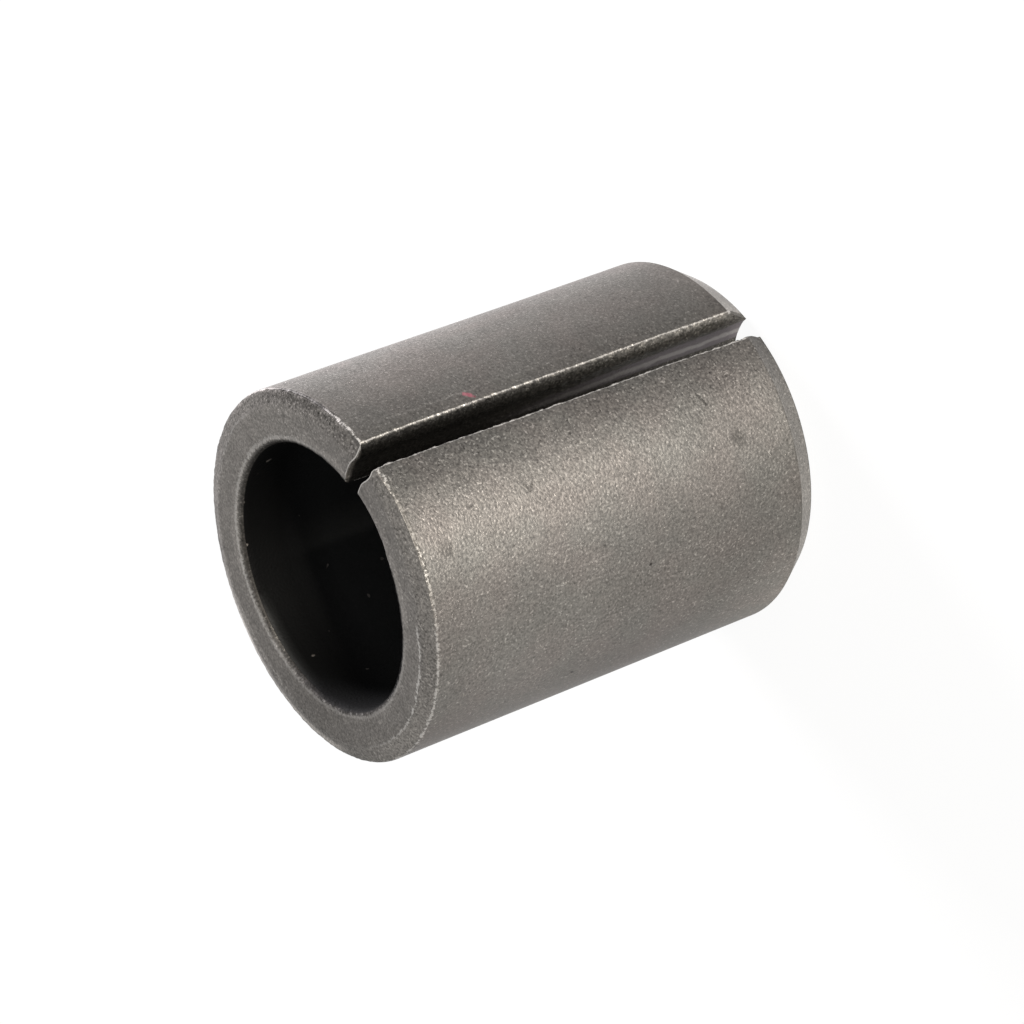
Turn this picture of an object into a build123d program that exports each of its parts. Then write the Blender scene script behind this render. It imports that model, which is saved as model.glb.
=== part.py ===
from build123d import *
from math import sqrt
import os

# A split sleeve bushing: one steel strip rolled into a tube, with an open slit between the strip's two
# sheared ends. It stands on its lead-in end. The bore lies along +Z and the slit faces -Y.
# The origin is the centre of the lower end face. All sizes are in millimetres.

# Tube
outer_diameter = 28.0
strip_thickness = 4.0
sleeve_length = 35.0

# Lower end: the tapered lead-in that enters the housing first
lead_in_height = 1.9
lead_in_depth = 1.25

# Upper end: a shallow bevel round the end face, and the worn edge where it meets the outside
face_bevel_width = 1.25
face_bevel_drop = 0.34
crown_break = 0.14

# Rounds on the bore's upper and lower mouths
bore_mouth_round = 0.45
bore_foot_round = 0.35

# Slit: the gap between the two sheared ends, measured across its mouth at the outside
slit_width = 2.5

# Hooked end (+X): the shear left a rough nose under the outside, then a smooth hollow, and a toe at
# the bore. Each reach is how far that place stands into the gap from where the wall starts outside.
hook_nose_depth = 1.2
hook_nose_reach = 0.42
hook_hollow_height = 1.3
hook_hollow_reach = 0.22
hook_toe_reach = 0.4
hook_lip_round = 0.15

# Stepped end (-X): the wall drops straight, then slants into the gap and runs straight to the bore
step_break_depth = 0.95
step_foot_height = 1.4
step_foot_reach = 0.62
step_lip_round = 0.25

# Sizes that follow from those above
outer_radius = outer_diameter / 2
bore_radius = outer_radius - strip_thickness
flat_face_radius = outer_radius - face_bevel_width
bevel_foot = sleeve_length - face_bevel_drop
slit_wall = slit_width / 2

# The slit's outline runs this far past the outside, and as far again into the bore
overrun = strip_thickness / 2


def at_slit(across, radius):
    """The point of the section that lies this far across from the slit's middle, at this radius."""
    return (across, -sqrt(radius**2 - across**2))


def lip_corner(corners, side):
    """The corner where a slit wall meets the outside; side is 1 for the wall at +X and -1 at -X."""
    return corners.filter_by(lambda corner: side * corner.X > 0).sort_by(Axis.Y)[0]


def ring_edge(edges, radius, height):
    """The edge that runs round the sleeve at this radius and height."""
    rings = edges.filter_by(GeomType.CIRCLE).filter_by_position(Axis.Z, height - 0.01, height + 0.01)
    return rings.sort_by(lambda edge: abs(edge.radius - radius))[0]


with BuildPart() as split_sleeve:
    # Section of the rolled strip, seen from above: a ring, less the slit with its two sheared walls
    with BuildSketch() as section:
        Circle(outer_radius)
        Circle(bore_radius, mode=Mode.SUBTRACT)
        with BuildLine():
            hook_lip = at_slit(slit_wall, outer_radius)
            hook_nose = at_slit(slit_wall - hook_nose_reach, outer_radius - hook_nose_depth)
            hook_hollow = at_slit(slit_wall - hook_hollow_reach, bore_radius + hook_hollow_height)
            hook_toe = at_slit(slit_wall - hook_toe_reach, bore_radius)
            step_lip = at_slit(-slit_wall, outer_radius)
            step_break = at_slit(-slit_wall, outer_radius - step_break_depth)
            step_foot = at_slit(step_foot_reach - slit_wall, bore_radius + step_foot_height)
            step_toe = at_slit(step_foot_reach - slit_wall, bore_radius)
            Spline(hook_lip, hook_nose, hook_hollow, hook_toe)
            Polyline(hook_toe, (0, overrun - bore_radius), step_toe, step_foot, step_break, step_lip)
            Polyline(step_lip, (0, -overrun - outer_radius), hook_lip)
        make_face(mode=Mode.SUBTRACT)
        fillet(lip_corner(section.vertices(), 1), hook_lip_round)
        fillet(lip_corner(section.vertices(), -1), step_lip_round)
    extrude(amount=sleeve_length)

    # Lead-in taper at the lower end, and the bevel round the upper end face
    with BuildSketch(Plane.XZ):
        with BuildLine():
            Polyline(
                (outer_radius - lead_in_depth, 0),
                (outer_radius, lead_in_height),
                (outer_radius + overrun, lead_in_height),
                (outer_radius + overrun, -overrun),
                (outer_radius - lead_in_depth, -overrun),
                close=True,
            )
        make_face()
        with BuildLine():
            Polyline(
                (flat_face_radius, sleeve_length),
                (outer_radius - crown_break, bevel_foot),
                (outer_radius, bevel_foot - crown_break),
                (outer_radius + overrun, bevel_foot - crown_break),
                (outer_radius + overrun, sleeve_length + overrun),
                (flat_face_radius, sleeve_length + overrun),
                close=True,
            )
        make_face()
    revolve(axis=Axis.Z, mode=Mode.SUBTRACT)

    # Rounds on the bore's two mouths
    fillet(ring_edge(split_sleeve.edges(), bore_radius, sleeve_length), bore_mouth_round)
    fillet(ring_edge(split_sleeve.edges(), bore_radius, 0), bore_foot_round)

split_sleeve.part.label = "split_sleeve"

os.makedirs("parts", exist_ok=True)
export_step(split_sleeve.part, "parts/split_sleeve.step")

print("bore radius", bore_radius)
print("slit at the bore", hook_toe[0] - step_toe[0])
print("volume", round(split_sleeve.part.volume, 1))
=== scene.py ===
# %% [markdown]
# # A split sleeve bushing in rolled steel
# The real part is one strip of spring steel, rolled into a tube until its two sheared ends almost
# meet. It is pressed into a pivot and a pin turns in its bore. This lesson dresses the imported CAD
# model: a finer copy of the same sleeve is modelled, with the ragged shear marks, knocked edges and
# granular coating that the CAD solid leaves out, and it is lit and photographed on a white floor.

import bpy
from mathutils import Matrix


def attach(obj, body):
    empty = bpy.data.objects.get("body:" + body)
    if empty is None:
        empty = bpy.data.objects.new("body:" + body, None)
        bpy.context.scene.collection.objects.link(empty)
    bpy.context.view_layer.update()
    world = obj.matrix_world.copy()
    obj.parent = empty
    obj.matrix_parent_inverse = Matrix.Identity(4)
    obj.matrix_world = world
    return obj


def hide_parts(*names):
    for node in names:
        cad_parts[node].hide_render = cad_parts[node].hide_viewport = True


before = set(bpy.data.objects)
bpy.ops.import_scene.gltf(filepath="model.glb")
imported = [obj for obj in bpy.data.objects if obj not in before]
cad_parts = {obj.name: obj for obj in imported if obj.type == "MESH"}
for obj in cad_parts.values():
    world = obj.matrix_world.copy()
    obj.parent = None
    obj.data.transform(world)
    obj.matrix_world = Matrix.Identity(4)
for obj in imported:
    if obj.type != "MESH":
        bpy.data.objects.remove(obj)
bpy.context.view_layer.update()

# %% Modules
from math import asin, cos, degrees, hypot, radians, sin, sqrt

import bmesh
import bpy
from mathutils import Vector

# %% [markdown]
# ## The sizes
# Blender works in metres here, because the frame is in metres. The sleeve is small, so its sizes are
# written in millimetres and multiplied by `mm` where they are used. The bore lies along Z, the
# sleeve stands on its tapered lead-in end, and the slit faces -Y.

# %% Sizes of the sleeve
mm = 0.001
outside = 14.0
bore = 10.0
length = 35.0
lead_in_height, lead_in_foot = 1.9, 12.75
bevel_edge, bevel_drop = 12.75, 0.34
crown_break = 0.13
mouth_round, foot_round = 0.45, 0.35
half_slit = 1.25
print("wall", outside - bore, "mm, length over diameter", length / (2 * outside))

# %% [markdown]
# ## The camera
# A product picture of a small part is taken from far away with a long lens, so that both ends look
# nearly the same size. The camera looks down at the slit side and is rolled by about a right angle,
# which is why the standing sleeve seems to lie on its side in the picture.

# %% Camera
bpy.ops.object.camera_add(
    location=(-0.133528, -0.242602, 0.185192),
    rotation=(radians(-30.2849), radians(53.2266), radians(-154.8298)),
)
camera = bpy.context.object
camera.name = "camera"
camera.data.sensor_width = 36
camera.data.lens = 155.822
camera.data.clip_start = 0.01
bpy.context.scene.camera = camera
print("camera at", tuple(round(value, 3) for value in camera.location))

# %% [markdown]
# ## The strip's sheared end
# The whole sleeve is one cross-section carried round the bore. That section is the cut end of the
# strip, 4 mm thick and 35 mm long. A grid is the right start for it, because the grid's columns can
# follow the strip's thickness and its rows the strip's height. First come the places of the columns,
# close together where an edge is rounded, and how high and how low the strip reaches in each.

# %% Columns and rows of the section
columns = [10.0, 10.28, 10.45, 10.9, 11.4, 11.9, 12.35, 12.75, 13.0, 13.3, 13.6, 13.78, 13.88, 14.0]


def top_at(radius):
    """Height of the upper end at this radius: bore mouth, flat face, bevel, then the crown's break."""
    if radius < bore + mouth_round:
        return length - mouth_round + sqrt(mouth_round**2 - (bore + mouth_round - radius) ** 2)
    if radius < bevel_edge:
        return length
    return length - bevel_drop * (radius - bevel_edge) / (outside - crown_break - bevel_edge)


def foot_at(radius):
    """Height of the lower end at this radius: bore mouth, flat face, then the lead-in taper."""
    if radius < bore + foot_round:
        return foot_round - sqrt(foot_round**2 - (bore + foot_round - radius) ** 2)
    if radius < lead_in_foot:
        return 0.0
    return lead_in_height * (radius - lead_in_foot) / (outside - lead_in_foot)


# Each row between the two ends: its height at the bore and at the outside
inner_rows = [(0.2, 2.05), (0.35, 2.5), (34.0, 33.9), (34.55, 34.25), (34.72, 34.46)]


def section_point(column, row):
    """Radius and height of one point of the section, in millimetres."""
    radius = columns[column]
    if row == 0:
        height = foot_at(radius)
    elif row == len(inner_rows) + 1:
        height = top_at(radius)
    else:
        at_bore, at_outside = inner_rows[row - 1]
        height = at_bore + (at_outside - at_bore) * (radius - bore) / (outside - bore)
    return radius, height


# The corners of the rounds lie half-way along them, off the straight columns
corner_points = {
    (0, 0): (bore + 0.293 * foot_round, 0.293 * foot_round),
    (0, 1): (bore + 0.027, 0.2),
    (0, 5): (bore + 0.034, 34.72),
    (0, 6): (bore + 0.293 * mouth_round, length - 0.293 * mouth_round),
    (13, 6): (outside - 0.04, length - bevel_drop - 0.05),
}
print(len(columns), "columns by", len(inner_rows) + 2, "rows")

# %% [markdown]
# The grid is added standing up, and each of its points is then moved to its place with Grab, as by
# hand. An operator moves all that is selected, so a small helper first selects one set of points and
# nothing else. It takes a test on the point's place, in millimetres.

# %% Helpers to choose and move points


def choose(test):
    """Selects the points for which test(x, y, z) is true, in millimetres, and no others."""
    mesh = bmesh.from_edit_mesh(bpy.context.edit_object.data)
    chosen = 0
    for vertex in mesh.verts:
        x, y, z = vertex.co / mm
        vertex.select_set(bool(test(x, y, z)))
        chosen += vertex.select
    mesh.select_flush_mode()
    bmesh.update_edit_mesh(bpy.context.edit_object.data)
    return chosen


def turn(angle):
    """Turns what is selected round the bore's axis, anticlockwise from above, in degrees."""
    bpy.ops.transform.rotate(value=radians(-angle), orient_axis="Z", center_override=(0, 0, 0))


def grow(factor):
    """Moves what is selected away from the bore's axis, or towards it if the factor is under 1."""
    bpy.ops.transform.resize(value=(factor, factor, 1), center_override=(0, 0, 0))


# %% Draw the section as a grid
bpy.ops.object.select_all(action="DESELECT")
bpy.ops.mesh.primitive_grid_add(
    x_subdivisions=len(columns) - 1,
    y_subdivisions=len(inner_rows) + 1,
    size=mm,
    rotation=(radians(90), 0, 0),
)
sleeve = bpy.context.object
sleeve.name = "rolled_sleeve"
bpy.ops.object.transform_apply(location=False, rotation=True, scale=False)
bpy.ops.object.mode_set(mode="EDIT")
bpy.ops.mesh.select_mode(type="VERT")

for index in range(len(sleeve.data.vertices)):
    row, column = divmod(index, len(columns))
    radius, height = corner_points.get((column, row)) or section_point(column, row)
    bpy.ops.mesh.select_all(action="DESELECT")
    grid = bmesh.from_edit_mesh(sleeve.data)
    grid.verts.ensure_lookup_table()
    point = grid.verts[index]
    point.select_set(True)
    bmesh.update_edit_mesh(sleeve.data)
    bpy.ops.transform.translate(value=Vector((0, -radius, height)) * mm - point.co)

# The long rows in the middle of the strip are divided, which keeps the faces from being needles
long_row, row_cuts = 20 * mm, 24
bpy.ops.mesh.select_all(action="DESELECT")
bpy.ops.mesh.select_mode(type="EDGE")
for edge in bmesh.from_edit_mesh(sleeve.data).edges:
    edge.select_set(edge.calc_length() > long_row)
bmesh.update_edit_mesh(sleeve.data)
bpy.ops.mesh.subdivide(number_cuts=row_cuts)
bpy.ops.mesh.select_mode(type="VERT")
print("section has", len(bmesh.from_edit_mesh(sleeve.data).faces), "faces")

# %% [markdown]
# ## The hooked wall
# A shear does not cut a thick strip cleanly. It leaves a torn nose, then a smooth hollow, then a toe
# at the other side. On this end the nose stands into the slit, so each column of the grid is turned
# round the bore's axis to its own place. The table gives, at each depth under the outside, how far
# the wall is from the middle of the slit.

# %% Shape the hooked wall
hooked_wall = [
    (0.0, 1.31), (0.12, 1.19), (0.22, 1.11), (0.4, 1.0), (0.7, 0.89), (1.0, 0.835), (1.25, 0.84),
    (1.65, 0.97), (2.1, 1.03), (2.6, 1.04), (3.1, 1.02), (3.55, 0.955), (3.72, 0.9), (4.0, 0.86),
]


def wall_across(wall, radius):
    """Distance in millimetres from the middle of the slit to this wall, at this radius."""
    depth = outside - radius
    for (d0, x0), (d1, x1) in zip(wall, wall[1:]):
        if depth <= d1:
            return x0 + (x1 - x0) * max(0.0, depth - d0) / (d1 - d0)
    return wall[-1][1]


def wall_angle(wall, radius):
    """Degrees from the middle of the slit to this wall, at this radius."""
    return degrees(asin(wall_across(wall, radius) / radius))


# The corners of the first column lie off it, up to first_reach; the others lie within this gap
first_reach, column_gap = 10.2, 0.035
choose(lambda x, y, z: hypot(x, y) < first_reach)
turn(wall_angle(hooked_wall, columns[0]))
for radius in columns[1:-1]:
    choose(lambda x, y, z: abs(hypot(x, y) - radius) < column_gap)
    turn(wall_angle(hooked_wall, radius))
choose(lambda x, y, z: hypot(x, y) > 13.93)
turn(wall_angle(hooked_wall, columns[-1]))
print("nose stands at", min(x for d, x in hooked_wall), "mm from the middle of the slit")

# %% [markdown]
# ## Rolling the strip
# Spin carries the selected faces round an axis and leaves a skin behind them, which is just what
# rolling does to the strip. The first steps are short, to round the lip where the wall meets the
# outside. Then the section is changed little by little from the hooked shape to that of the other
# end, while the mesh is still small. That is hidden inside the metal, and shows only at the far wall.

# %% Roll the first lip
# The lip's round starts this far round from the wall's line, and is as deep there
lip_start = 0.0586
# Its depth further round; past the last of these the metal is flush
lip_drop = {0.12: 0.0167, 0.2: 0.0}
lip_columns = [0.12, 0.2, 0.35, 0.55, 0.8, 1.1, 1.5, 2.0]


def roll(steps, angle):
    """Spins the selected section on by this angle, anticlockwise from above, in degrees."""
    bpy.ops.mesh.spin(steps=steps, angle=radians(-angle), center=(0, 0, 0), axis=(0, 0, 1))


def selected_outside():
    """Keeps only the selected points that lie on the outside, and returns the whole section."""
    mesh = bmesh.from_edit_mesh(bpy.context.edit_object.data)
    section = [vertex for vertex in mesh.verts if vertex.select]
    for vertex in section:
        x, y, z = vertex.co / mm
        vertex.select_set(hypot(x, y) > 13.9)
    mesh.select_flush_mode()
    bmesh.update_edit_mesh(bpy.context.edit_object.data)
    return section


def reselect(section):
    """Selects the whole section again."""
    mesh = bmesh.from_edit_mesh(bpy.context.edit_object.data)
    for vertex in section:
        vertex.select_set(True)
    mesh.select_flush_mode()
    bmesh.update_edit_mesh(bpy.context.edit_object.data)


bpy.ops.mesh.select_all(action="SELECT")
section = selected_outside()
grow(1 - lip_start / outside)
reselect(section)
previous_drop, previous_reach = lip_start, lip_start
for reach in lip_columns:
    roll(1, degrees((reach - previous_reach) / outside))
    drop = lip_drop.get(reach, 0.0)
    if drop != previous_drop:
        section = selected_outside()
        grow((outside - drop) / (outside - previous_drop))
        reselect(section)
    previous_drop, previous_reach = drop, reach
print("lip rolled", lip_columns[-1], "mm round")

# %% Change the section from the hooked shape to the stepped one
# The wall at the strip's other end, in the same way: a straight drop, a slant and a foot
stepped_wall = [
    (0.0, 1.31), (0.12, 1.22), (0.22, 1.18), (0.4, 1.18), (0.7, 1.2), (1.0, 1.14), (1.25, 1.03),
    (1.65, 0.87), (2.1, 0.72), (2.6, 0.635), (3.1, 0.61), (3.55, 0.61), (3.72, 0.62), (4.0, 0.66),
]
morph_steps, morph_angle = 12, 0.62
angles_apart = {
    radius: (360 - wall_angle(stepped_wall, radius) - wall_angle(hooked_wall, radius))
    for radius in columns
}
whole_turn = angles_apart[outside]
for step in range(morph_steps):
    roll(1, morph_angle)
    mesh = bmesh.from_edit_mesh(sleeve.data)
    section = [vertex for vertex in mesh.verts if vertex.select]
    for radius in columns[:-1]:
        mesh = bmesh.from_edit_mesh(sleeve.data)
        bpy.ops.mesh.select_all(action="DESELECT")
        low, high = radius - column_gap, radius + column_gap
        if radius == columns[0]:
            low, high = bore - 0.1, first_reach
        for vertex in section:
            vertex.select_set(low < hypot(*vertex.co.xy) / mm < high)
        bmesh.update_edit_mesh(sleeve.data)
        turn((angles_apart[radius] - whole_turn) / morph_steps)
    reselect(section)
print("section changed over", morph_steps * morph_angle, "degrees")

# %% Roll the rest of the sleeve and the second lip
lip_turn = degrees((lip_columns[-1] - lip_start) / outside)
long_turn = whole_turn - 2 * lip_turn - morph_steps * morph_angle
roll(round(long_turn / morph_angle), long_turn)
reaches = lip_columns[::-1] + [lip_start]
previous_drop = 0.0
for reach, next_reach in zip(reaches, reaches[1:]):
    roll(1, degrees((reach - next_reach) / outside))
    drop = lip_start if next_reach == lip_start else lip_drop.get(next_reach, 0.0)
    if drop != previous_drop:
        section = selected_outside()
        grow((outside - drop) / (outside - previous_drop))
        reselect(section)
    previous_drop = drop
mesh = bmesh.from_edit_mesh(sleeve.data)
print("sleeve has", len(mesh.verts), "points and", len(mesh.faces), "faces")

# %% [markdown]
# ## Finer rows along the slit
# The lips of the slit are ragged on the real part, and a mesh can only be ragged where it has points.
# So the upright edges near the slit are divided again, and the rest of the tube is left as it is.

# %% Divide the upright edges near the slit
bpy.ops.mesh.select_mode(type="EDGE")
near_slit, slit_cuts = half_slit + 1.6, 8
for edge in mesh.edges:
    ends = [vertex.co / mm for vertex in edge.verts]
    upright = abs(ends[0].z - ends[1].z) > 1.0
    close_by = all(abs(end.x) < near_slit and end.y < 0 and hypot(end.x, end.y) > 10.05 for end in ends)
    wall = all(abs(end.x) < 1.5 and end.y < 0 for end in ends)
    edge.select_set(upright and (close_by or wall))
bmesh.update_edit_mesh(sleeve.data)
bpy.ops.mesh.subdivide(number_cuts=slit_cuts)
bpy.ops.mesh.select_mode(type="VERT")
bpy.ops.mesh.select_all(action="SELECT")
bpy.ops.mesh.remove_doubles(threshold=0.002 * mm)
bpy.ops.mesh.normals_make_consistent(inside=False)
mesh = bmesh.from_edit_mesh(sleeve.data)
print("now", len(mesh.verts), "points, volume", round(mesh.calc_volume() / mm**3, 1), "cubic mm")
print("open edges", sum(not edge.is_manifold for edge in mesh.edges))

# %% [markdown]
# ## Marking the bore and the worn edges
# Handling and pressing rub the coating off sharp edges, so the lips of the slit and the rims of its
# walls shine, while the bore stays dark. The paint has to know where they are, also after the metal is
# bent below. A number kept on the points themselves, an attribute, moves with them: 1 where the mark
# is full and less beside it.

# %% Write the two attributes


def add_attribute(name):
    """Gives every point a number of this name, 0 at first, which attribute_set can then change."""
    bpy.ops.object.mode_set(mode="OBJECT")
    bpy.ops.geometry.attribute_add(name=name, domain="POINT", data_type="FLOAT")
    bpy.ops.object.mode_set(mode="EDIT")


add_attribute("bore_wall")
bore_points = choose(lambda x, y, z: hypot(x, y) < bore + 0.005 and 0.34 < z < 34.56)
bpy.ops.mesh.attribute_set(value_float=1.0)
print("bore wall", bore_points, "points")
add_attribute("rubbed_edge")


def on_lip(x, y, z):
    """The lip itself, where a wall of the slit meets the outside."""
    return y < 0 and 1.24 < abs(x) < 1.36 and 13.9 < hypot(x, y) < 13.965


def beside_lip(x, y, z):
    """The first points down the wall and round the outside from a lip."""
    below = 1.1 < abs(x) < 1.24 and hypot(x, y) > 13.8
    outwards = 1.33 < abs(x) < 1.4 and hypot(x, y) > 13.9
    return y < 0 and (below or outwards)


def on_wall_rim(x, y, z):
    """The rim where a wall of the slit meets the upper end."""
    radius = hypot(x, y)
    if y > 0 or abs(x) > 1.4 or radius < 10.2 or z < top_at(radius) - 0.03:
        return False
    wall = hooked_wall if x > 0 else stepped_wall
    return abs(abs(x) - wall_across(wall, radius)) < 0.08


def step_shoulder(x, y, z):
    """The outside just beyond the stepped wall's lip."""
    return y < 0 and 1.33 < -x < 1.4 and hypot(x, y) > 13.9 and 2.0 < z < 34.4


def on_toe(x, y, z):
    """The toe of the hooked wall, along the bore."""
    return y < 0 and 0.7 < x < 1.1 and hypot(x, y) < 10.1 and 8.0 < z < 34.5


# Where two marks meet, the later one holds
edge_marks = [(beside_lip, 0.5), (step_shoulder, 0.7), (on_wall_rim, 1.1), (on_lip, 1.0), (on_toe, 0.9)]
for test, value in edge_marks:
    print(test.__name__, choose(test), "points")
    bpy.ops.mesh.attribute_set(value_float=value)

# %% [markdown]
# ## Bending the lips
# The strip's ends are not quite straight: the slit is narrowest near the upper end, and the walls
# wander by a tenth of a millimetre or two. Proportional editing is made for this. A few points are
# moved across the slit and what is joined to them follows, less and less with distance.

# %% Bend the slit walls


def bend_wall(side, height, across, reach):
    """Moves one wall of the slit by a distance across it, around this height; side is 1 or -1."""
    choose(lambda x, y, z: y < -9.9 and 0.5 < side * x < 1.45 and abs(z - height) < 0.5)
    bpy.ops.transform.translate(
        value=(across * mm, 0, 0),
        use_proportional_edit=True,
        use_proportional_connected=True,
        proportional_edit_falloff="SMOOTH",
        proportional_size=reach * mm,
    )


# Each bend is a height, how far across the slit the wall moves there, and how far that reaches
hooked_bends = [(12.0, -0.15, 22.0), (29.0, -0.05, 7.0), (34.6, -0.12, 5.0), (2.0, -0.1, 6.0)]
stepped_bends = [
    (31.0, 0.12, 8.0), (27.0, 0.05, 6.0), (12.0, -0.06, 9.0), (0.6, -0.2, 9.0), (34.6, 0.12, 2.5),
    (0.0, 0.12, 1.8),
]
for bend in hooked_bends:
    bend_wall(1, *bend)
for bend in stepped_bends:
    bend_wall(-1, *bend)
print("walls bent")

# %% [markdown]
# At the upper end the strip is worn more: the hooked corner is knocked down, the stepped wall leans
# away from the gap, and the bore's mouth stands wide beside it. The same tool serves for all of them.

# %% Wear the corners at the upper end


def nudge(test, move, reach):
    """Moves the points that pass the test, and what is joined to them within this reach, in mm."""
    choose(test)
    bpy.ops.transform.translate(
        value=Vector(move) * mm,
        use_proportional_edit=True,
        use_proportional_connected=True,
        proportional_edit_falloff="SMOOTH",
        proportional_size=reach * mm,
    )


def on_end(x_range, radius_range):
    """A test for the points of the upper end beside the slit, between these limits of x and radius."""
    def inside_limits(x, y, z):
        near = y < 0 and z > 34.4 and x_range[0] < x < x_range[1]
        return near and radius_range[0] < hypot(x, y) < radius_range[1]
    return inside_limits


# The stepped corner stands up a little, the hooked one is knocked down, and the step leans away
nudge(on_end((-1.7, -1.2), (13.7, 15)), (0, 0, 0.14), 2.6)
nudge(on_end((0.9, 1.5), (13.7, 15)), (0, 0, -0.15), 1.6)
nudge(on_end((-1.1, -0.3), (10.2, 12.2)), (-0.28, 0, 0), 2.4)


def widen_mouth(first, last, factor, reach):
    """Moves the bore's mouth outwards by this factor, between two distances across the slit."""
    choose(on_end((first, last), (0, 10.6)))
    bpy.ops.transform.resize(
        value=(factor, factor, 1),
        center_override=(0, 0, 0),
        use_proportional_edit=True,
        use_proportional_connected=True,
        proportional_edit_falloff="SMOOTH",
        proportional_size=reach * mm,
    )


nudge(on_end((-1.35, -0.6), (12.2, 15)), (-0.1, 0, 0), 1.0)
widen_mouth(-3.0, -0.3, 1.042, 3.5)
widen_mouth(0.4, 3.4, 1.005, 2.0)
print("upper end worn")

# %% [markdown]
# ## Knocked and torn edges
# The crown, the lips and the bore's rim are not clean lines. A Displace modifier moves points along
# their normals by a cloud texture, which is three-dimensional and so needs no unwrapping. A vertex
# group keeps each roughness to its own place. The middle level is set high, so that metal is mostly
# taken away, as knocks do, and the sleeve stays inside its real size.

# %% Rough up the edges


def group_points(name, test):
    """Makes a vertex group of the points for which the test is true."""
    count = choose(test)
    bpy.ops.object.vertex_group_assign_new()
    sleeve.vertex_groups.active.name = name
    print(name, count, "points")


def torn(x, y, z):
    """The torn part of both walls, under the lips."""
    return y < 0 and abs(x) < 1.45 and 12.3 < hypot(x, y) < 13.9 and 0.1 < z < 34.6


def on_bevel(x, y, z):
    """The bevel round the upper end, but for its corners at the slit."""
    return 12.6 < hypot(x, y) < 13.9 and z > 34.6 and (abs(x) > 1.3 or y > 0)


group_points("lips", lambda x, y, z: y < 0 and 0.9 < abs(x) < 1.75 and hypot(x, y) > 13.7 and z > 2.2)
group_points("torn_walls", torn)
group_points("crown", lambda x, y, z: hypot(x, y) > 13.85 and z > 34.5)
group_points("bevel", on_bevel)
group_points("bore_rim", lambda x, y, z: hypot(x, y) < 10.6 and z > 34.65)
bpy.ops.object.mode_set(mode="OBJECT")


def roughen(group, size, depth, high):
    """Roughens this group with marks of this size and depth, in mm; high over 0.5 takes metal away."""
    clouds = bpy.data.textures.new(group, "CLOUDS")
    clouds.noise_scale = size * mm
    clouds.noise_depth = 2
    bpy.ops.object.modifier_add(type="DISPLACE")
    modifier = sleeve.modifiers[-1]
    modifier.texture = clouds
    modifier.vertex_group = group
    modifier.strength = depth * mm
    modifier.mid_level = high
    bpy.ops.object.modifier_apply(modifier=modifier.name)


roughen("torn_walls", 0.45, 0.2, 0.5)
roughen("lips", 0.35, 0.14, 0.75)
roughen("crown", 0.4, 0.09, 0.8)
roughen("bevel", 0.45, 0.045, 0.7)
roughen("bore_rim", 0.5, 0.09, 0.8)
sleeve.vertex_groups.clear()

# %% [markdown]
# ## Back inside the real size
# Where the clouds pushed points out, the sleeve would be longer or wider than the real one. Scaling
# the points past a limit by zero along one axis lays them flat on that limit, as a file would.

# %% Press flat what stands proud
bpy.ops.object.mode_set(mode="EDIT")
top_limit, front_limit = length - 0.002, 13.935
choose(lambda x, y, z: z > top_limit)
bpy.ops.transform.resize(value=(1, 1, 0), center_override=(0, 0, top_limit * mm))
choose(lambda x, y, z: y < -front_limit)
bpy.ops.transform.resize(value=(1, 0, 1), center_override=(0, -front_limit * mm, 0))
bpy.ops.mesh.select_all(action="DESELECT")
bpy.ops.object.mode_set(mode="OBJECT")
bpy.ops.object.shade_smooth_by_angle(angle=radians(40))
print("faces", len(sleeve.data.polygons))

# %% [markdown]
# ## Shader maths in plain Python
# A finish like this one needs many small masks, such as "near the crown" or "inside the bore". They
# are sums on the point's own place, so they are written as sums. One small class wraps a socket, and
# Python's + - * / on it add the Math nodes. Any other node comes from its `node` method.

# %% The wire class


class Wire:
    """A socket of a node, on which Python's + - * / work. Each of them adds a Math node."""

    def __init__(self, tree, socket=None):
        self.tree = tree
        self.socket = socket

    def node(self, kind, inputs=None, output=0, **settings):
        """Adds any node: its type and settings first, then the values or wires of its inputs."""
        made = self.tree.nodes.new("ShaderNode" + kind)
        for name, value in settings.items():
            setattr(made, name, value)
        for place, value in (inputs or {}).items():
            if isinstance(value, Wire):
                self.tree.links.new(value.socket, made.inputs[place])
            else:
                made.inputs[place].default_value = value
        return Wire(self.tree, made.outputs[output] if made.outputs else None)

    def maths(self, operation, *values):
        """Adds a Math node that does this to the values."""
        return self.node("Math", dict(enumerate(values)), operation=operation)

    def __add__(self, other):
        return self.maths("ADD", self, other)

    def __sub__(self, other):
        return self.maths("SUBTRACT", self, other)

    def __rsub__(self, other):
        return self.maths("SUBTRACT", other, self)

    def __mul__(self, other):
        return self.maths("MULTIPLY", self, other)

    def __truediv__(self, other):
        return self.maths("DIVIDE", self, other)

    __radd__ = __add__
    __rmul__ = __mul__


def rises(value, low, high):
    """0 below low, 1 above high, and a smooth step between."""
    inputs = {"Value": value, "From Min": low, "From Max": high}
    return value.node("MapRange", inputs, interpolation_type="SMOOTHSTEP")


def falls(value, low, high):
    """1 below low, 0 above high, and a smooth step between."""
    return 1 - rises(value, low, high)


def mixed(factor, first, second):
    """The first colour where the factor is 0, the second where it is 1."""
    return factor.node("Mix", {0: factor, 6: first, 7: second}, output=2, data_type="RGBA")


def size_of(value):
    """The number without its sign."""
    return value.maths("ABSOLUTE", value)


# %% [markdown]
# ## Where on the sleeve a point is
# Object coordinates are the point's place in the part's own frame. In millimetres they give its
# distance from the bore's axis, and the way round it in degrees from the slit: 0 at the stepped
# wall, 180 at the back and 360 at the hooked wall. From these each zone of the sleeve follows.

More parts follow.
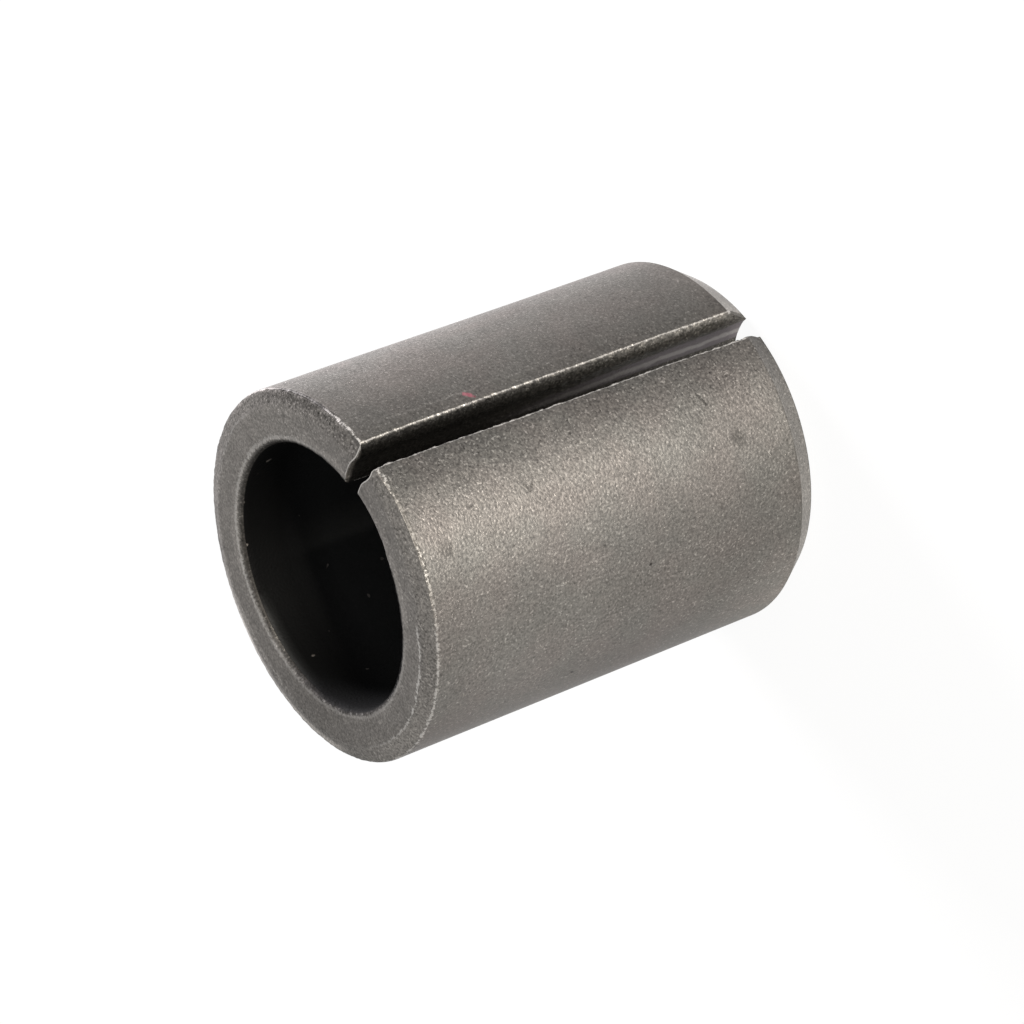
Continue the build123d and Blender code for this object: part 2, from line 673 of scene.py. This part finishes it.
# %% Places
steel = bpy.data.materials.new("dark_steel")
steel.use_nodes = True
steel.node_tree.nodes.clear()
start = Wire(steel.node_tree)
object_place = start.node("TexCoord", output="Object")
place = start.node("VectorMath", {0: object_place, "Scale": 1 / mm}, operation="SCALE")
x, y, z = (place.node("SeparateXYZ", {0: place}, output=axis) for axis in "XYZ")
radius = x.maths("SQRT", x * x + y * y)
depth = outside - radius
across = size_of(x)
way = 180 + degrees(1) * x.maths("ARCTAN2", x, y)


def grain(size, seed, detail=2.0, roughness=0.5, where=place):
    """A cloudy number from about 0.3 to 0.7, with spots of this size in millimetres."""
    moved = where.node("VectorMath", {0: where, 1: (seed, 2.3 * seed, 0.7 * seed)}, operation="ADD")
    inputs = {"Vector": moved, "Scale": 1 / size, "Detail": detail, "Roughness": roughness}
    return where.node("TexNoise", inputs)


def follow(value, stops):
    """A number that runs straight from stop to stop; each stop is a value and what it gives."""
    first, last = stops[0][0], stops[-1][0]
    made = value.node("FloatCurve", {"Value": (value - first) / (last - first)})
    mapping = made.socket.node.mapping
    mapping.extend = "HORIZONTAL"
    mapping.clip_min_y, mapping.clip_max_y = -100, 100
    points = mapping.curves[0].points
    points[0].location = (0, stops[0][1])
    points[1].location = (1, stops[-1][1])
    for stop, number in stops[1:-1]:
        points.new((stop - first) / (last - first), number)
    for point in points:
        point.handle_type = "VECTOR"
    mapping.update()
    return made


def tinted(colour, number):
    """The colour, lighter or darker by this number."""
    grey = number.node("CombineColor", {0: number, 1: number, 2: number})
    inputs = {0: 1.0, 6: colour, 7: grey}
    return number.node("Mix", inputs, output=2, data_type="RGBA", blend_type="MULTIPLY")


print("places made")

# %% Zones
front = falls(y, -1.0, 0.0)
upper_end = rises(z, 34.55, 34.64)
lower_end = falls(z, 0.03, 0.12)
in_bore = rises(start.node("Attribute", output="Fac", attribute_name="bore_wall"), 0.5, 0.9)
taper = falls(z, 1.84, 1.95) * rises(radius, 12.4, 12.6)
slit_wall = falls(across, 1.22, 1.3) * front * falls(z, 34.4, 34.55)
slit_wall = slit_wall * falls(radius, 13.75, 13.95) * rises(radius, 10.02, 10.1)
on_face = upper_end * falls(radius, 13.8, 13.9) * rises(radius, 10.1, 10.2)

# %% [markdown]
# ## The coating
# The steel is dark from heat and a thin phosphate coat, a fine crystal layer. Close up it is a
# grey-brown sand of tiny bright and dark grains, with cloudy patches that lean to brown or green.
# Noise of several sizes is added up. The smallest is about a fifth of a millimetre, a size that
# still shows from where the camera stands. Beside the slit the grain is coarser, and the colour there
# is darkened as painted shade.

# %% Coating
sand = grain(0.19, 3.0, detail=1.0, roughness=0.5)
cloud = grain(1.2, 11.0, detail=3.0, roughness=0.6)
patches = grain(6.0, 23.0, detail=3.0, roughness=0.55)
tint = grain(4.5, 41.0, detail=2.0)
chips = grain(0.3, 57.0, detail=3.0, roughness=0.7)
specks = rises(grain(0.2, 67.0, detail=1.0), 0.61, 0.72)
pits = rises(grain(0.28, 83.0, detail=1.0), 0.62, 0.74)
brown, green = (0.148, 0.137, 0.128, 1), (0.142, 0.137, 0.128, 1)
coat = mixed(rises(tint, 0.3, 0.7), green, brown)
coarseness = follow(way, [
    (8, 1.75), (20, 1.45), (29, 1.0), (45, 1.05), (75, 1.3), (95, 1.25), (312, 1.05), (320, 0.7), (336, 0.7),
    (345, 0.9), (352, 1.25),
])
sand_depth = coarseness + on_face * (1.3 - coarseness)
shade = 1 + 0.9 * sand_depth * (sand - 0.5) + 0.15 * (cloud - 0.5) + 0.3 * (patches - 0.5)
shade = shade + sand_depth * (0.65 * specks - 0.2 * pits) * (1 - 0.5 * on_face)
# Painted shade round the sleeve: darker towards the slit on both sides, a little lighter short of the hooked
# wall
round_light_and_shade = follow(way, [
    (0, 0.45), (6, 0.52), (12, 0.59), (20, 0.83), (28, 0.98), (36, 1.0), (50, 0.9), (62, 0.97), (75, 1.0),
    (310, 1.12), (318, 1.1), (325, 0.95), (333, 0.82), (340, 0.715), (345, 0.63), (350, 0.56), (360, 0.45),
])
height_tone = follow(z, [(3, 0.95), (9, 0.94), (16, 0.98), (22, 1.05), (28, 1.03), (33, 0.96)])
# Painted light from the floor: the outside is lighter near the foot, between the stepped wall and the back
floor_bounce_light = follow(way, [(68, 0), (95, 1), (150, 0)]) * follow(z, [(0, 1.0), (4, 0.7), (9, 0.22), (16, 0)])
# The painted light and shade of the outside, with a tone that changes along the height
outside_light_and_shade = round_light_and_shade * height_tone * (1 + floor_bounce_light)
shade = shade * (1 + (outside_light_and_shade - 1) * (1 - upper_end))
print("coating made")

# %% [markdown]
# ## The end face
# The upper end was faced on a lathe after the strip was rolled, and not quite square to the bore, so
# the bevel's inner edge wanders: it is close to the bore on one side and close to the outside on the
# other. A short list of stops, degrees round from the slit and radius, says where it runs.

# %% End face
bevel_line = follow(way, [
    (0, 13.05), (20, 12.85), (40, 12.5), (56, 12.2), (65, 12.38), (80, 12.53), (95, 12.63), (125, 12.7),
    (155, 12.65), (172, 12.38), (185, 12.3), (200, 12.32), (215, 12.55), (230, 12.68), (260, 12.64),
    (275, 12.74), (285, 12.87), (300, 12.9), (360, 12.6),
])
beyond = radius - bevel_line + 0.5 * (cloud - 0.5)
band = rises(beyond, -0.06, 0.08) * on_face
flat_tone = follow(way, [
    (0, 1.05), (20, 1.1), (35, 1.2), (65, 1.18), (95, 1.08), (125, 1.04), (140, 0.98), (155, 0.85),
    (170, 0.87), (185, 1.05), (215, 1.07), (230, 1.2), (275, 1.25), (320, 1.3), (340, 1.15), (360, 1.0),
])
# The flat is lighter towards the bore on some stretches, and the bevel has painted light and shade towards
# the outside
inner_edge = follow(way, [
    (0, 0.3), (20, 0.2), (52, 0.33), (62, 0), (195, 0), (230, 0.2), (250, 0.15), (270, 0), (305, 0),
    (335, 0.15), (350, 0.33),
])
flat_tone = flat_tone * (1 + inner_edge * falls(radius, 10.9, 11.3))
# The bevel's band differs round the sleeve, partly in its own tone and partly as painted light and shade of
# its slope
band_tone_and_shading = follow(way, [
    (0, 1.0), (20, 1.03), (35, 1.2), (50, 1.22), (65, 1.02), (80, 1.25), (125, 1.4), (140, 1.18), (155, 1.02),
    (170, 1.1), (185, 1.35), (200, 1.62), (230, 1.68), (245, 1.65), (260, 1.45), (275, 1.26), (290, 1.1),
    (305, 1.05), (320, 1.0), (335, 0.95), (350, 0.85), (360, 0.8),
])
# Painted light on the bevel's outer part where it catches the lamps, and painted shade near the hooked wall
outer_bevel_light_and_shade = follow(way, [
    (140, 0), (155, 1.9), (170, 1.5), (185, 0.95), (200, 1.9), (215, 0.7), (228, -0.2), (260, 0), (300, 0),
    (320, -0.36), (335, -0.36), (350, -0.1), (360, 0),
])
band_tone_and_shading = band_tone_and_shading * (1 + outer_bevel_light_and_shade * rises(radius, 13.05, 13.5))
turning = grain(0.2, 5.0, detail=2.0, where=place.node("CombineXYZ", {0: radius, 1: 0.02 * way}))
face_tone = (1 + 0.3 * (turning - 0.5) + 0.35 * (cloud - 0.5)) * (flat_tone + band * (band_tone_and_shading - flat_tone))
coat = mixed(upper_end, coat, (0.129, 0.121, 0.112, 1))
shade = shade * (1 + upper_end * (face_tone - 1))
band_specks = 0.4 * falls(way, 120.0, 150.0) + 0.7 * rises(way, 300.0, 312.0)
face_specks = follow(way, [(10, 0), (20, 0.4), (52, 0.4), (60, 0), (303, 0), (314, 0.4), (345, 0.4)])
shade = shade + band * (0.8 * (sand - 0.5) + specks * band_specks)
shade = shade + on_face * (1 - band) * specks * face_specks
print("end face made")

# %% [markdown]
# ## The taper, the slit's walls and the bore
# The taper is turned and a little lighter. The slit's walls are sheared metal, torn under the outside
# and burnished below, and get darker away from the lamps. No light reaches far into the bore, and the
# photo shows it black with a few specks of dust. A white world would light it more than a real room
# does, so its colour is dark too.

# %% Taper, lower end, slit walls and bore
# Painted light and shade round the taper, with a painted reflection beside the hooked wall
taper_light_and_shade = follow(way, [
    (0, 1.0), (36, 1.0), (60, 1.35), (72, 1.2), (90, 0.74), (320, 1.4), (345, 1.75), (350, 2.2), (356, 3.0),
])
coat = mixed(taper, coat, tinted((0.22, 0.213, 0.205, 1), taper_light_and_shade))
coat = mixed(lower_end, coat, (0.16, 0.152, 0.144, 1))
# Painted shade: the walls grow darker towards the upper end
wall_tone = follow(z, [(0, 1.25), (8, 0.95), (16, 0.5), (24, 0.24), (35, 0.19)])
burnish = rises(depth + 0.6 * (cloud - 0.5) - 0.06 * z, 1.3, 1.6)
burnish = burnish * falls(depth, 3.3, 3.5) * falls(z, 14.0, 24.0)
# A painted highlight along a ridge of the burnished band
ridge_highlight = falls(size_of(depth - 2.6 - 0.03 * z + 0.6 * (cloud - 0.5)), 0.1, 0.35)
wall_colour = mixed(burnish, (0.085, 0.081, 0.074, 1), (0.15, 0.138, 0.146, 1))
wall_colour = mixed(burnish * ridge_highlight, wall_colour, (0.26, 0.25, 0.25, 1))
wall_shade = wall_tone * (1 + (1 - burnish) * (1.8 * (sand - 0.5) + 1.4 * specks))
coat = mixed(slit_wall, coat, tinted(wall_colour, wall_shade))
shade = 1 + (shade - 1) * (1 - slit_wall)

# Painted shade and light: the bore's mouth darkens inwards in three steps, which differ on the way round
deep = follow(way, [
    (60, 0.005), (105, 0.006), (150, 0.015), (162, 0.1), (175, 0.4), (190, 0.45), (198, 0.22),
    (230, 0.13), (250, 0.22), (265, 0.24), (290, 0.16), (360, 0.1),
])
middle = follow(way, [
    (60, 0.02), (75, 0.01), (85, 0.012), (97, 0.02), (108, 0.28), (125, 0.2), (145, 0.2), (155, 0.34),
    (165, 0.6), (175, 1.04), (190, 1.25), (205, 1.1), (215, 0.6), (230, 0.48), (245, 0.6), (260, 0.6),
    (290, 0.5), (305, 0.35), (360, 0.25),
])
near = follow(way, [
    (60, 0.2), (65, 0.14), (75, 0.02), (85, 0.025), (95, 0.12), (107, 0.7), (120, 0.8), (135, 0.85),
    (155, 0.65), (175, 0.8), (195, 1.3), (205, 1.0), (245, 1.2), (320, 1.2), (335, 0.9), (345, 0.35),
])
mouth_light_and_shade = deep + (middle - deep) * follow(radius, [(10.1, 0), (10.25, 1)])
mouth_light_and_shade = mouth_light_and_shade + (near - middle) * follow(radius, [(10.25, 0), (10.4, 1)])
mouth_light_and_shade = mouth_light_and_shade + (1 - near) * follow(radius + 0.1 * (chips - 0.5), [(10.4, 0), (10.5, 1)])
mouth_grain = 1 + (0.8 * (sand - 0.5) + 0.3 * specks) * falls(radius, 10.4, 10.5)
shade = shade * (1 + rises(z, 34.2, 34.5) * (mouth_light_and_shade * mouth_grain - 1))
dust = rises(grain(0.7, 91.0, detail=0.0), 0.8, 0.84)
bore_depth = follow(z, [(0, 0.03), (27.5, 0.026), (31.5, 0.006), (34.2, 0.003)])
# Painted light: the bore is a little lighter near its mouth on the side that the lamps reach
lit_side = follow(way, [(158, 0), (175, 1), (200, 1), (212, 0)])
lit_side = lit_side * follow(z, [(33.6, 0), (34.2, 0.4), (34.5, 1)])
inside = tinted((0.98, 1.0, 1.0, 1), bore_depth + 0.022 * lit_side)
coat = mixed(in_bore, coat, mixed(dust, inside, (0.12, 0.11, 0.1, 1)))
# The mouth's shade lasts until the coat has turned fully dark, or a light line would run between them
shade = 1 + (shade - 1) * (1 - rises(in_bore, 0.9, 1.0))

# %% [markdown]
# ## Bare metal on the edges
# Pressing and handling rub the coating off the edges. Each bright line is a distance from an edge,
# made ragged by the grain so that it breaks up, and each is strong on some stretches and weak on
# others, as on the real sleeve.

# %% Bare edges
# The rubbed edges are brighter on the stepped side and at the upper end
edge = start.node("Attribute", output="Fac", attribute_name="rubbed_edge")
rubbed = rises(edge + 1.6 * chips, 1.35, 1.8) * (0.62 + 0.28 * falls(way, 90.0, 270.0) + 0.2 * upper_end)
# The crown is the edge between the bevel and the outside: its height, and how worn it is
crown_line = follow(way, [
    (0, 34.5), (8, 34.55), (14, 34.5), (20, 34.43), (50, 34.43), (56, 34.55), (338, 34.55),
    (348, 34.42), (360, 34.42),
])
crown_gap = size_of(radius - 13.97) + size_of(z - crown_line)
crown_wear = follow(way, [
    (0, 0.9), (8, 0.9), (11, 0.35), (16, 0.15), (24, 0.12), (31, 0.38), (39, 0.55), (44, 0.15),
    (54, 0.5), (65, 0.75), (80, 0.7), (100, 0.9), (120, 0.7), (150, 1.0), (205, 1.0), (225, 0.05),
    (290, 0.05), (302, 0.15), (312, 0.1), (330, 0.1), (338, 0.12), (345, 0.8), (349, 1.3),
])
# Where it isn't worn bright its colour is darkened, a painted shade, and it is made rougher,
# or its round would shine in the lamps all the way
crown_shade_and_dull = follow(way, [
    (8, 0), (14, 0.4), (22, 0.68), (30, 0.68), (40, 0.6), (45, 0.45), (58, 0), (218, 0), (235, 0.3),
    (290, 0.25), (305, 0.3), (312, 0.75), (318, 0.8), (335, 0.85), (342, 0.6), (347, 0),
])
crown_shade_and_dull = crown_shade_and_dull * falls(crown_gap, 0.12, 0.26)
shade = shade * (1 - crown_shade_and_dull)
crown = falls(crown_gap + 1.1 * (chips - 0.5), -0.03, 0.16) * rises(z, 34.2, 34.35) * crown_wear
# The ring is the bevel's inner edge, and the rim is the bore's mouth on the end face
ring_wear = follow(way, [
    (55, 0), (57, 0.9), (95, 0.8), (112, 0.4), (135, 0), (168, 0), (182, 0.25), (205, 0.2), (215, 0),
    (255, 0), (266, 0.25), (290, 0.35), (296, 0),
])
ring = falls(size_of(beyond) + 0.9 * (chips - 0.5), -0.04, 0.13) * on_face * ring_wear
rim_line = follow(way, [
    (80, 10.57), (100, 10.48), (125, 10.42), (155, 10.4), (200, 10.38), (215, 10.46), (245, 10.5),
])
rim_wear = follow(way, [
    (60, 0), (72, 0.3), (85, 0.25), (100, 0.35), (110, 0.2), (150, 0.2), (180, 0.3), (200, 0.38), (225, 0.5),
    (300, 0.5), (318, 0.35), (335, 0.25), (345, 0),
])
rim = falls(size_of(radius - rim_line) + 0.8 * (chips - 0.5), 0.0, 0.22)
rim = rim * rises(z, 34.7, 34.8) * rim_wear


def larger(first, second):
    """The larger of two numbers."""
    return first.maths("MAXIMUM", first, second)


bare = larger(larger(rubbed, crown), larger(ring, rim))
print("edges made")

# %% [markdown]
# ## Scratches, stains and a fleck of paint
# A few marks are larger than the grain and are placed one by one. Each one is a short straight line in
# space, given by where it starts and ends, and the shader works out its distance from that line.

# %% Marks


def mark_at(degrees_round, radius_there, height):
    """A place on the sleeve as x, y, z in millimetres."""
    turned = radians(degrees_round)
    return Vector((-radius_there * sin(turned), -radius_there * cos(turned), height))


def gap_to(first, last):
    """Distance in millimetres from the straight line between two places on the sleeve."""
    first = mark_at(*first)
    line = mark_at(*last) - first
    from_first = place.node("VectorMath", {0: place, 1: tuple(first)}, operation="SUBTRACT")
    if line.length < 0.001:
        return from_first.node("VectorMath", {0: from_first}, output="Value", operation="LENGTH")
    along = {0: from_first, 1: tuple(line)}
    share = from_first.node("VectorMath", along, output="Value", operation="DOT_PRODUCT")
    share = share.node("Math", {0: share, 1: 1 / line.length_squared}, operation="MULTIPLY", use_clamp=True)
    reached = share.node("VectorMath", {0: tuple(line), "Scale": share}, operation="SCALE")
    return share.node("VectorMath", {0: from_first, 1: reached}, output="Value", operation="DISTANCE")


def marks(strokes):
    """One mask for many marks, each a start, an end, half a width and a strength."""
    mask = None
    for first, last, width, strength in strokes:
        stroke = strength * falls(gap_to(first, last) + 0.5 * width * (2 * chips - 1), 0.4 * width, width)
        mask = stroke if mask is None else larger(mask, stroke)
    return mask


light_strokes = [
    ((52.8, 14, 22.0), (52.7, 14, 19.4), 0.12, 0.3),
    ((56.1, 14, 24.1), (56.1, 14, 23.4), 0.16, 0.4),
    ((89.6, 14, 20.0), (87.4, 14, 19.6), 0.14, 0.3),
    ((16.8, 14, 8.8), (17.6, 14, 8.2), 0.12, 0.45),
    ((18.0, 14, 7.9), (20.0, 14, 7.6), 0.1, 0.3),
    ((336.0, 14, 2.8), (336.6, 14, 2.9), 0.16, 0.6),
    ((6.0, 14, 11.7), (6.3, 14, 11.6), 0.18, 0.7),
    ((13.4, 14, 3.7), (13.4, 14, 3.7), 0.16, 0.6),
    ((350.3, 14, 32.4), (350.9, 14, 21.9), 0.14, 0.16),
    ((350.9, 14, 21.9), (351.2, 14, 12.0), 0.14, 0.12),
    ((7.6, 14, 16.9), (9.9, 14, 12.0), 0.12, 0.2),
    ((9.9, 14, 12.0), (12.8, 14, 8.0), 0.12, 0.16),
    ((43.6, 11.1, 35), (46.5, 11.9, 35), 0.16, 0.4),
    ((318.9, 12.4, 35), (319.3, 12.35, 35), 0.22, 0.6),
    ((314.1, 12.48, 35), (314.5, 12.48, 35), 0.14, 0.45),
    ((329.9, 11.37, 35), (328.6, 11.49, 35), 0.16, 0.4),
]
dark_strokes = [
    ((24.5, 14, 24.7), (26.8, 14, 24.4), 0.14, 0.45),
    ((26.8, 14, 24.4), (25.2, 14, 24.1), 0.12, 0.35),
    ((17.3, 14, 8.4), (21.2, 14, 8.0), 0.16, 0.5),
    ((93.4, 14, 21.6), (93.4, 14, 21.6), 0.18, 0.7),
    ((60.5, 14, 15.9), (60.5, 14, 15.9), 0.18, 0.7),
    ((33.4, 14, 6.5), (33.9, 14, 6.4), 0.95, 0.28),
    ((33.4, 14, 6.6), (33.7, 14, 6.4), 0.35, 0.4),
    ((33.7, 14, 32.4), (34.2, 14, 32.3), 0.75, 0.25),
    ((34.2, 14, 32.1), (35.0, 14, 32.1), 0.25, 0.35),
]
red_strokes = [
    ((351.5, 14, 24.9), (352.6, 14, 24.6), 0.24, 0.5),
    ((352.8, 14, 24.5), (353.7, 14, 24.4), 0.12, 0.25),
]
light_marks, dark_marks, red_marks = marks(light_strokes), marks(dark_strokes), marks(red_strokes)
shade = shade * (1 - dark_marks) * (1 + 0.9 * light_marks)
print(len(light_strokes) + len(dark_strokes) + len(red_strokes), "marks placed")

# %% [markdown]
# ## One shader for the whole sleeve
# The coat's colour is shaded by the sums above, bare metal is laid over it, and one Principled shader
# takes the result. The grain also goes through Bump, so that it catches the light. Only what changes
# over the surface is linked. What is the same all over, such as Metallic, is set on the socket itself.

# %% Put the finish together
colour = mixed(bare, tinted(coat, shade), (0.42, 0.405, 0.385, 1))
colour = mixed(red_marks, colour, (0.36, 0.09, 0.13, 1))
# The bore, the dark parts of its mouth and the dulled crown are rougher, so that no lamp shows in them
dull = in_bore + crown_shade_and_dull + falls(radius, 10.3, 10.5) * falls(mouth_light_and_shade, 0.1, 0.4) * rises(z, 34.2, 34.5)
dull = dull.maths("MINIMUM", dull, 1.0)
roughness = 0.4 + 0.1 * (cloud - 0.5) + 0.25 * (sand - 0.5) - 0.05 * bare + 0.3 * dull
height = sand + 0.3 * cloud
bump = start.node("Bump", {"Height": height, "Distance": 0.027 * mm, "Strength": 1.0})
shader_inputs = {
    "Base Color": colour,
    "Roughness": roughness,
    "Metallic": 0.85,
    "Specular Tint": (0.5, 0.5, 0.5, 1),
    "Normal": bump,
}
surface = start.node("BsdfPrincipled", shader_inputs)
start.node("OutputMaterial", {"Surface": surface})
sleeve.data.materials.append(steel)
print(len(steel.node_tree.nodes), "nodes in the finish")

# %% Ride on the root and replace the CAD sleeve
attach(sleeve, "root")
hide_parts("split_sleeve")

# %% [markdown]
# ## Floor, world and lamps
# The picture has a white background. The floor and the world are white to the camera and in
# reflections, through Light Path, and no lamp has to be turned up for it. Part of the floor is still
# an ordinary white surface, so it keeps the sleeve's soft shadow.

# %% Floor and world
bpy.ops.mesh.primitive_plane_add(size=6, location=(0, 0, -0.02 * mm))
floor = bpy.context.object
floor.name = "floor"
white = bpy.data.materials.new("floor_white")
white.use_nodes = True
white.node_tree.nodes.clear()
begin = Wire(white.node_tree)
camera_ray = begin.node("LightPath", output="Is Camera Ray")
glossy_ray = begin.node("LightPath", output="Is Glossy Ray")
clear_ray = begin.node("LightPath", output="Is Transmission Ray")
lit = begin.node("BsdfDiffuse", {"Color": (0.9, 0.9, 0.9, 1)})
glow = begin.node("Emission", {"Color": (1, 1, 1, 1), "Strength": 1.0})
share = 0.9 * camera_ray + 0.5 * glossy_ray + 0.9 * clear_ray
begin.node("OutputMaterial", {"Surface": begin.node("MixShader", {0: share, 1: lit, 2: glow})})
floor.data.materials.append(white)

world = bpy.data.worlds.new("studio")
bpy.context.scene.world = world
world.use_nodes = True
world.node_tree.nodes.clear()
sky = Wire(world.node_tree)
seen = sky.node("LightPath", output="Is Camera Ray") + sky.node("LightPath", output="Is Glossy Ray")
seen = seen + sky.node("LightPath", output="Is Transmission Ray")
soft = sky.node("Background", {"Color": (1, 1, 1, 1), "Strength": 0.5})
bright = sky.node("Background", {"Color": (1, 1, 1, 1), "Strength": 1.0})
sky.node("OutputWorld", {"Surface": sky.node("MixShader", {0: seen, 1: soft, 2: bright})})

# %% [markdown]
# ## Two soft lamps
# The photo has a broad band of light along the side that faces the camera, and the sleeve gets lighter
# again towards its upper outline. Two square area lamps give these: a warm one that stands low under
# the camera, and a cooler one on the side of the hooked wall.

# %% Lamps


def lamp(name, azimuth, elevation, distance, size, power, colour):
    """A square soft lamp that looks at the middle of the sleeve, from this far in metres."""
    flat, rise = cos(radians(elevation)), sin(radians(elevation))
    away = Vector((cos(radians(azimuth)) * flat, sin(radians(azimuth)) * flat, rise))
    middle_of_sleeve = Vector((0, 0, length / 2 * mm))
    bpy.ops.object.light_add(type="AREA", location=away * distance + middle_of_sleeve)
    light = bpy.context.object
    light.name = name
    light.rotation_euler = away.to_track_quat("Z", "Y").to_euler()
    light.data.size = size
    light.data.energy = power
    light.data.color = colour


lamp("key", -119, 6, 0.8, 0.28, 20.5, (1.0, 0.94, 0.85))
lamp("side", 1, 8, 0.8, 0.3, 26.5, (0.98, 0.95, 1.0))
bpy.context.scene.view_settings.view_transform = "Standard"
